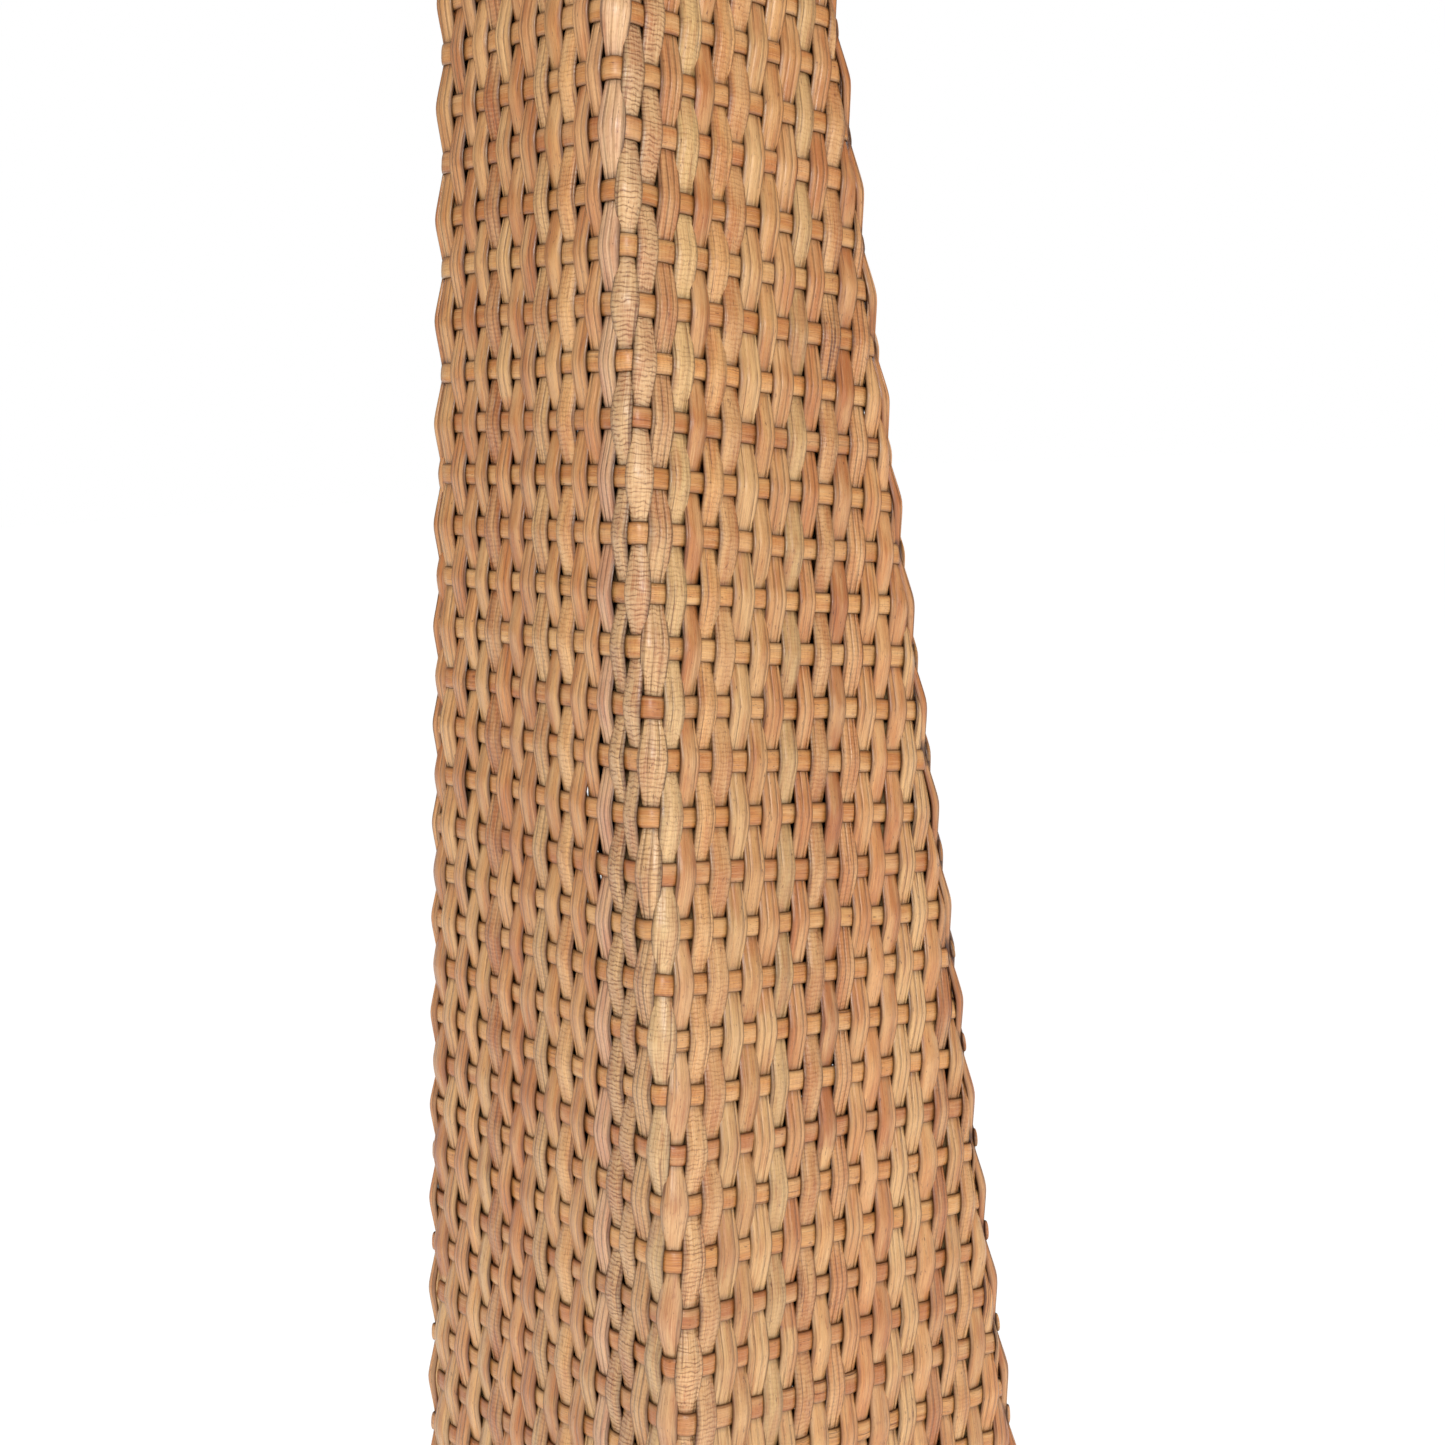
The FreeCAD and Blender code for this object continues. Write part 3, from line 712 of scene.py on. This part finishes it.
def rattan():
    n = Nodes("rattan")
    fibre = n.attribute("fibre").outputs["Vector"]
    tone_node = n.attribute("tone")
    tone, recess_level = tone_node.outputs["Color"], tone_node.outputs["Alpha"]
    split = n.add("ShaderNodeSeparateXYZ")
    n.link(n.attribute("wear").outputs["Vector"], split.inputs[0])
    cracks, ridges, rough = split.outputs[0], split.outputs[1], split.outputs[2]
    parts = n.add("ShaderNodeSeparateXYZ")
    n.link(fibre, parts.inputs[0])
    across, along = parts.outputs[0], parts.outputs[1]

    fine = n.noise(n.scaled(fibre, (5.5, 0.12, 3.1)), 1.0, 3.0, 0.65)
    streak = n.noise(n.scaled(fibre, (1.6, 0.03, 5.7)), 1.0, 3.0, 0.6)
    blotch = n.noise(n.scaled(fibre, (0.25, 0.06, 7.3)), 1.0, 2.0, 0.5)
    patch = n.noise(n.scaled(fibre, (0.10, 0.022, 1.9)), 1.0, 1.0, 0.5)

    grain = n.noise(n.scaled(fibre, (2.4, 0.5, 6.1)), 1.0, 4.0, 0.7)
    colour = n.mix(n.ramp(fine, 0.38, 0.66, 0.0, 0.5), tone, linear((160, 80, 32)))
    colour = n.mix(n.ramp(blotch, 0.40, 0.72, 0.0, 0.42), colour, linear((238, 194, 136)))
    colour = n.mix(n.ramp(blotch, 0.30, 0.50, 0.35, 0.0), colour, linear((176, 92, 42)))
    colour = n.mix(n.ramp(grain, 0.52, 0.72, 0.0, 0.4), colour, linear((136, 66, 30)))
    ragged = n.math("MULTIPLY", n.ramp(patch, 0.56, 0.66), rough)
    dark = n.ramp(streak, 0.55, 0.70)
    dark = n.math("MULTIPLY", dark, n.math("ADD", n.math("MULTIPLY", ragged, 0.85), 0.12))
    colour = n.mix(dark, colour, linear((92, 44, 22)))

    bend = n.math("MULTIPLY", n.noise(n.scaled(fibre, (0.45, 0.5, 2.9)), 1.0, 2.0), 1.8)
    rings = n.math("PINGPONG", n.math("ADD", n.math("DIVIDE", along, 1.15), bend), 0.5)
    ring = n.ramp(rings, 0.02, 0.20, 1.0, 0.0)
    ring = n.math("MULTIPLY", ring, n.ramp(n.noise(n.scaled(fibre, (0.4, 0.9, 8.9))), 0.36, 0.56))
    ring = n.math("MULTIPLY", ring, cracks)
    # Painted highlight: whitish bands between the crack rings, stronger on more cracked strands.
    painted_highlight = n.math("MULTIPLY", n.ramp(rings, 0.26, 0.46), n.math("MULTIPLY", cracks, 0.3))
    colour = n.mix(painted_highlight, colour, linear((240, 208, 160)))
    colour = n.mix(n.math("MULTIPLY", ring, 0.7), colour, linear((112, 60, 30)))
    hairlines = n.noise(n.scaled(fibre, (9.0, 0.07, 6.6)), 1.0, 2.0, 0.6)
    colour = n.mix(n.ramp(hairlines, 0.58, 0.68, 0.0, 0.5), colour, linear((118, 62, 30)))
    # Pale hairlines: scuffs along the fibres, partly painted highlight on their ridges.
    colour = n.mix(n.ramp(hairlines, 0.32, 0.42, 0.4, 0.0), colour, linear((242, 204, 154)))
    flecks = n.noise(n.scaled(fibre, (1.3, 0.42, 4.9)), 1.0, 4.0, 0.75)
    colour = n.mix(n.ramp(flecks, 0.60, 0.70, 0.0, 0.75), colour, linear((98, 46, 22)))

    wobble = n.noise(n.scaled(fibre, (0.0, 0.012, 1.7)), 1.0, 1.0, 0.5)
    phase = n.math("ADD", n.math("MULTIPLY", across, n.math("MULTIPLY", ridges, 0.17)), wobble)
    ridge = n.math("PINGPONG", phase, 0.5)
    grooved = n.ramp(ridges, 0.9, 1.1)
    valley = n.math("MULTIPLY", n.ramp(ridge, 0.0, 0.28, 1.0, 0.0), grooved)
    groove = n.math("MULTIPLY", n.ramp(ridge, 0.0, 0.06, 1.0, 0.0), grooved)
    broken = n.noise(n.scaled(fibre, (0.3, 0.08, 4.3)))
    groove = n.math("MULTIPLY", groove, n.ramp(broken, 0.4, 0.6))
    colour = n.mix(n.math("MULTIPLY", groove, 0.6), colour, linear((112, 62, 34)))

    # Painted shade: near black red-brown on the strands' edges, their inner sides and where they
    # dip under others.
    colour = n.mix(n.math("MULTIPLY", recess_level, 0.97), colour, linear((46, 15, 6)))

    n.link(colour, n.shader.inputs["Base Color"])
    n.link(n.ramp(fine, 0.3, 0.7, 0.26, 0.42), n.shader.inputs["Roughness"])
    n.shader.inputs["Coat Weight"].default_value = 0.25
    n.shader.inputs["Coat Roughness"].default_value = 0.3
    height = n.math("ADD", n.math("MULTIPLY", fine, 0.25), n.math("MULTIPLY", grain, 0.3))
    height = n.math("SUBTRACT", height, n.math("MULTIPLY", valley, 1.0))
    height = n.math("SUBTRACT", height, n.math("MULTIPLY", groove, 0.5))
    height = n.math("SUBTRACT", height, n.math("MULTIPLY", ring, 0.4))
    height = n.math("SUBTRACT", height, n.math("MULTIPLY", dark, 0.6))
    n.link(n.bump(height, 0.28 * MM), n.shader.inputs["Normal"])
    return n.material


def object_place(n):
    return n.add("ShaderNodeTexCoord").outputs["Object"]


def worn_edge(n, radius):
    """1 on sharp outer edges, 0 on flats."""
    bevel = n.add("ShaderNodeBevel", samples=4)
    bevel.inputs["Radius"].default_value = radius
    product = n.add("ShaderNodeVectorMath", operation="DOT_PRODUCT")
    n.link(bevel.outputs["Normal"], product.inputs[0])
    n.link(n.add("ShaderNodeNewGeometry").outputs["Normal"], product.inputs[1])
    return n.ramp(product.outputs["Value"], 0.80, 0.99, 1.0, 0.0)


def wood(name, axis, dark, middle, light, gloss):
    """Wood with its grain along one axis, 0, 1 or 2, and lighter where its edges are rubbed."""
    n = Nodes(name)
    place = object_place(n)

    def stretched(across, along):
        return n.scaled(place, [along if k == axis else across for k in range(3)])

    broad = n.noise(stretched(38, 2.6), 1.0, 2.0, 0.45)
    rings = n.math("PINGPONG", n.math("MULTIPLY", broad, 13.0), 0.5)
    fibres = n.noise(stretched(800, 22), 1.0, 3.0, 0.6)
    pores = n.ramp(n.noise(stretched(1300, 55), 1.0, 2.0), 0.60, 0.70)
    patches = n.noise(place, 11, 3.0, 0.6)
    colour = n.mix(n.ramp(rings, 0.02, 0.42), linear(dark), linear(middle))
    colour = n.mix(n.ramp(fibres, 0.35, 0.72, 0.0, 0.6), colour, linear(light))
    colour = n.mix(n.ramp(patches, 0.35, 0.7, 0.45, 0.0), colour, linear(dark))
    colour = n.mix(n.math("MULTIPLY", pores, 0.75), colour, linear([c * 0.45 for c in dark]))
    edge = n.math("MULTIPLY", worn_edge(n, 1.2 * MM), n.ramp(patches, 0.4, 0.6, 0.15, 0.8))
    colour = n.mix(edge, colour, linear([min(c * 1.15, 255) for c in light]))
    n.link(colour, n.shader.inputs["Base Color"])
    n.link(n.ramp(fibres, 0.3, 0.7, gloss, gloss + 0.2), n.shader.inputs["Roughness"])
    height = n.math("SUBTRACT", n.math("MULTIPLY", fibres, 0.5), pores)
    height = n.math("ADD", height, n.math("MULTIPLY", rings, 0.6))
    n.link(n.bump(height, 0.15 * MM), n.shader.inputs["Normal"])
    return n.material


def metal(name, colour, stain, gloss, turned_marks=0.0, stained=0.5, metallic=1.0, grit=0.3):
    """Metal with fine scratches, stains and bright edges; turned_marks adds rings round an axis."""
    n = Nodes(name)
    place = object_place(n)
    scratches = n.noise(n.scaled(place, (60, 60, 2200)), 1.0, 2.0, 0.6)
    grain = n.noise(place, 1400, 3.0, 0.6)
    clouds = n.noise(place, 32, 4.0, 0.65)
    spots = n.ramp(n.noise(place, 240, 3.0, 0.7), 0.60, 0.72)
    shade = n.mix(n.ramp(clouds, 0.42, 0.68, 0.0, stained), linear(colour), linear(stain))
    shade = n.mix(n.math("MULTIPLY", spots, stained), shade, linear([c * 0.7 for c in stain]))
    shade = n.mix(n.ramp(grain, 0.3, 0.7, 0.0, 0.18), shade, linear([c * 0.8 for c in colour]))
    edge = n.math("MULTIPLY", worn_edge(n, 0.6 * MM), 0.5)
    shade = n.mix(edge, shade, linear([min(c * 1.2 + 14, 255) for c in colour]))
    n.link(shade, n.shader.inputs["Base Color"])
    n.shader.inputs["Metallic"].default_value = metallic
    rough = n.ramp(clouds, 0.35, 0.7, gloss, gloss + 0.22)
    rough = n.math("ADD", rough, n.math("MULTIPLY", spots, 0.2))
    n.link(rough, n.shader.inputs["Roughness"])
    height = n.math("MULTIPLY", scratches, turned_marks)
    height = n.math("ADD", height, n.math("MULTIPLY", grain, grit))
    n.link(n.bump(height, 0.08 * MM), n.shader.inputs["Normal"])
    return n.material


def rubber(name, colour, dusty):
    n = Nodes(name)
    place = object_place(n)
    grain = n.noise(place, 900, 4.0, 0.7)
    dust = n.noise(place, 60, 4.0, 0.6)
    shade = n.mix(n.ramp(dust, 0.42, 0.72, 0.0, 0.5), linear(colour), linear(dusty))
    shade = n.mix(n.ramp(grain, 0.55, 0.75, 0.0, 0.35), shade, linear(dusty))
    n.link(shade, n.shader.inputs["Base Color"])
    n.link(n.ramp(dust, 0.35, 0.7, 0.62, 0.9), n.shader.inputs["Roughness"])
    n.link(n.bump(grain, 0.12 * MM), n.shader.inputs["Normal"])
    return n.material


def cotton():
    """Undyed cotton, yellowed by lamp oil and charred at the end that burns."""
    n = Nodes("wick_fibre")
    place = object_place(n)
    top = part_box("wick")[1].z
    height = n.add("ShaderNodeSeparateXYZ")
    n.link(place, height.inputs[0])
    fibre = n.attribute("fibre").outputs["Vector"]
    threads = n.noise(n.scaled(fibre, (7.0, 0.8, 2.3)), 1.0, 3.0, 0.6)
    fuzz = n.noise(place, 2600, 3.0, 0.7)
    colour = n.mix(n.ramp(threads, 0.35, 0.7), linear((196, 180, 146)), linear((236, 226, 200)))
    colour = n.mix(n.ramp(fuzz, 0.5, 0.75, 0.0, 0.35), colour, linear((160, 138, 100)))
    char = n.math("ADD", height.outputs[2], n.math("MULTIPLY", fuzz, 4 * MM))
    charred = n.ramp(char, top - 10 * MM, top - 1 * MM, 0.0, 0.96)
    colour = n.mix(charred, colour, linear((26, 20, 17)))
    # Painted shade: darker on the strands' edges, inner sides and dips, and all over the core.
    painted_sunk_shade = n.attribute("tone").outputs["Alpha"]
    colour = n.mix(n.math("MULTIPLY", painted_sunk_shade, 0.6), colour, linear((92, 72, 48)))
    n.link(colour, n.shader.inputs["Base Color"])
    n.link(n.ramp(fuzz, 0.3, 0.7, 0.8, 0.95), n.shader.inputs["Roughness"])
    n.shader.inputs["Sheen Weight"].default_value = 0.3
    bumps = n.math("ADD", threads, n.math("MULTIPLY", fuzz, 0.5))
    n.link(n.bump(bumps, 0.2 * MM), n.shader.inputs["Normal"])
    return n.material


STAINED = ((58, 29, 17), (101, 56, 32), (134, 80, 48))      # dark, middle and light
TURNED = ((66, 34, 20), (118, 68, 40), (150, 94, 58))
SOFTWOOD = ((168, 124, 78), (206, 166, 114), (226, 192, 144))


def finish(slot, axis):
    """The finish of a material slot, with the grain of wood along the axis given."""
    if slot == "stained_hardwood":
        return wood(f"stained_hardwood_{'xyz'[axis]}", axis, *STAINED, 0.34)
    if slot == "turned_wood":
        return wood("turned_wood", axis, *TURNED, 0.30)
    if slot == "frame_softwood":
        return wood(f"frame_softwood_{'xyz'[axis]}", axis, *SOFTWOOD, 0.60)
    if slot == "foot_rubber":
        return rubber("foot_rubber", (34, 33, 32), (92, 86, 78))
    if slot == "gasket_rubber":
        return rubber("gasket_rubber", (46, 40, 36), (88, 78, 66))
    if slot == "ballast_iron":
        return metal(
            "ballast_iron", (72, 68, 66), (106, 58, 34), 0.58, stained=0.7, metallic=0.6, grit=1.6
        )
    if slot == "black_steel":
        return metal(
            "black_steel", (32, 32, 33), (50, 45, 41), 0.42, stained=0.4, metallic=0.2, grit=0.9
        )
    if slot == "canister_steel":
        return metal("canister_steel", (196, 198, 200), (142, 140, 136), 0.26, 0.5, 0.5)
    if slot == "brass":
        return metal("brass", (214, 168, 88), (142, 98, 50), 0.22, 0.5, 0.55)
    if slot == "zinc_fasteners":
        return metal("zinc_fasteners", (190, 192, 196), (136, 134, 132), 0.34, 0.2, 0.5)
    return None


def dress_cad_nodes():
    """Gives every CAD piece that stays visible the finish of its slot."""
    made = {}
    for part in frame["record"]["subparts"]:
        name, slot = part["node"], part["material_slot"]
        low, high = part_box(name)
        size = high - low
        axis = max(range(3), key=lambda k: size[k])
        key = (slot, axis if "wood" in slot else 0)
        if key not in made:
            made[key] = finish(*key)
        if made[key] is not None:
            materials = frame["nodes"][name].data.materials
            materials.clear()
            materials.append(made[key])


def plain(name, colour, roughness, metallic=0.0):
    n = Nodes(name)
    n.shader.inputs["Base Color"].default_value = (*linear(colour), 1)
    n.shader.inputs["Roughness"].default_value = roughness
    n.shader.inputs["Metallic"].default_value = metallic
    return n.material


# ---- Camera, light and floor ---------------------------------------------------------------------
VIEW_WIDTH = 110 * MM                    # the side's width at the height that the view starts from
VIEW_HEIGHT = APEX_Z - VIEW_WIDTH / (2 * LEAN)
CAMERA_DISTANCE = 4.8645 * VIEW_WIDTH
CAMERA_RISE = 1.6921 * VIEW_WIDTH
CAMERA_AZIMUTH = math.radians(51.49)
CAMERA_PAN = math.radians(1.3)
CAMERA_PITCH = math.radians(-8.14)
CAMERA_ROLL = -0.0541
SENSOR_WIDTH = 36.0
FOCAL_LENGTH = 1995.5 / 1445             # in picture widths
LENS = FOCAL_LENGTH * SENSOR_WIDTH


def add_camera():
    data = bpy.data.cameras.new("camera")
    data.sensor_width = SENSOR_WIDTH
    data.lens = LENS
    data.clip_start = 0.02
    data.clip_end = 100.0
    camera = bpy.data.objects.new("camera", data)
    bpy.context.scene.collection.objects.link(camera)
    a = CAMERA_AZIMUTH
    place = Vector((math.sin(a), -math.cos(a), 0)) * CAMERA_DISTANCE
    place.z = VIEW_HEIGHT + CAMERA_RISE
    facing = a - CAMERA_PAN
    level = Vector((-math.sin(facing), math.cos(facing), 0))
    forward = level * math.cos(CAMERA_PITCH) + Vector((0, 0, math.sin(CAMERA_PITCH)))
    right = level.cross(Vector((0, 0, 1)))
    up = right.cross(forward)
    tilted_right = right * math.cos(CAMERA_ROLL) + up * math.sin(CAMERA_ROLL)
    tilted_up = up * math.cos(CAMERA_ROLL) - right * math.sin(CAMERA_ROLL)
    axes = Matrix((tilted_right, tilted_up, -forward)).transposed()
    camera.matrix_world = Matrix.Translation(place) @ axes.to_4x4()
    bpy.context.scene.camera = camera


def add_light(name, azimuth, distance, height, size, power, target):
    data = bpy.data.lights.new(name, "AREA")
    data.shape = "SQUARE"
    data.size = size
    data.energy = power
    light = bpy.data.objects.new(name, data)
    bpy.context.scene.collection.objects.link(light)
    a = math.radians(azimuth)
    light.location = (math.sin(a) * distance, -math.cos(a) * distance, height)
    aim = Vector(target) - light.location
    light.rotation_euler = aim.to_track_quat("-Z", "Y").to_euler()


def add_stage():
    size = 40.0
    mesh = bpy.data.meshes.new("floor")
    mesh.from_pydata(
        [(-size, -size, 0), (size, -size, 0), (size, size, 0), (-size, size, 0)], [], [(0, 1, 2, 3)]
    )
    floor = bpy.data.objects.new("floor", mesh)
    bpy.context.scene.collection.objects.link(floor)
    white = plain("floor_white", (245, 245, 244), 0.8)
    shader = white.node_tree.nodes["Principled BSDF"]
    shader.inputs["Emission Color"].default_value = (1, 1, 1, 1)
    shader.inputs["Emission Strength"].default_value = 0.75
    mesh.materials.append(white)
    world = bpy.data.worlds.new("studio")
    bpy.context.scene.world = world
    world.use_nodes = True
    nodes, links = world.node_tree.nodes, world.node_tree.links
    background = nodes["Background"]
    background.inputs["Color"].default_value = (1.0, 1.0, 1.0, 1)
    path = nodes.new("ShaderNodeLightPath")
    level = nodes.new("ShaderNodeMapRange")
    links.new(path.outputs["Is Camera Ray"], level.inputs["Value"])
    level.inputs["To Min"].default_value = 0.3
    level.inputs["To Max"].default_value = 1.0
    links.new(level.outputs["Result"], background.inputs["Strength"])
    middle = (0, 0, 0.95)
    add_light("key", azimuth=50, distance=2.4, height=1.8, size=0.5, power=30, target=middle)
    add_light("fill", azimuth=85, distance=2.4, height=1.3, size=1.2, power=6, target=middle)
    bpy.context.scene.view_settings.view_transform = "Standard"


# A default camera, light or cube isn't part of the object.
for extra in [o for o in bpy.data.objects if o.type in ("CAMERA", "LIGHT") or o.name == "Cube"]:
    bpy.data.objects.remove(extra)

dress_cad_nodes()
cane = rattan()
ColumnMat(3, 0.0, ("front", "right")).build(cane)
ColumnMat(7, math.pi, ("back", "left")).build(cane)
for quarter, side in enumerate(("right", "back", "left", "front")):
    HeadInfill(side, quarter * math.pi / 2).build(cane)
plaited_wick(cotton())
add_camera()
add_stage()
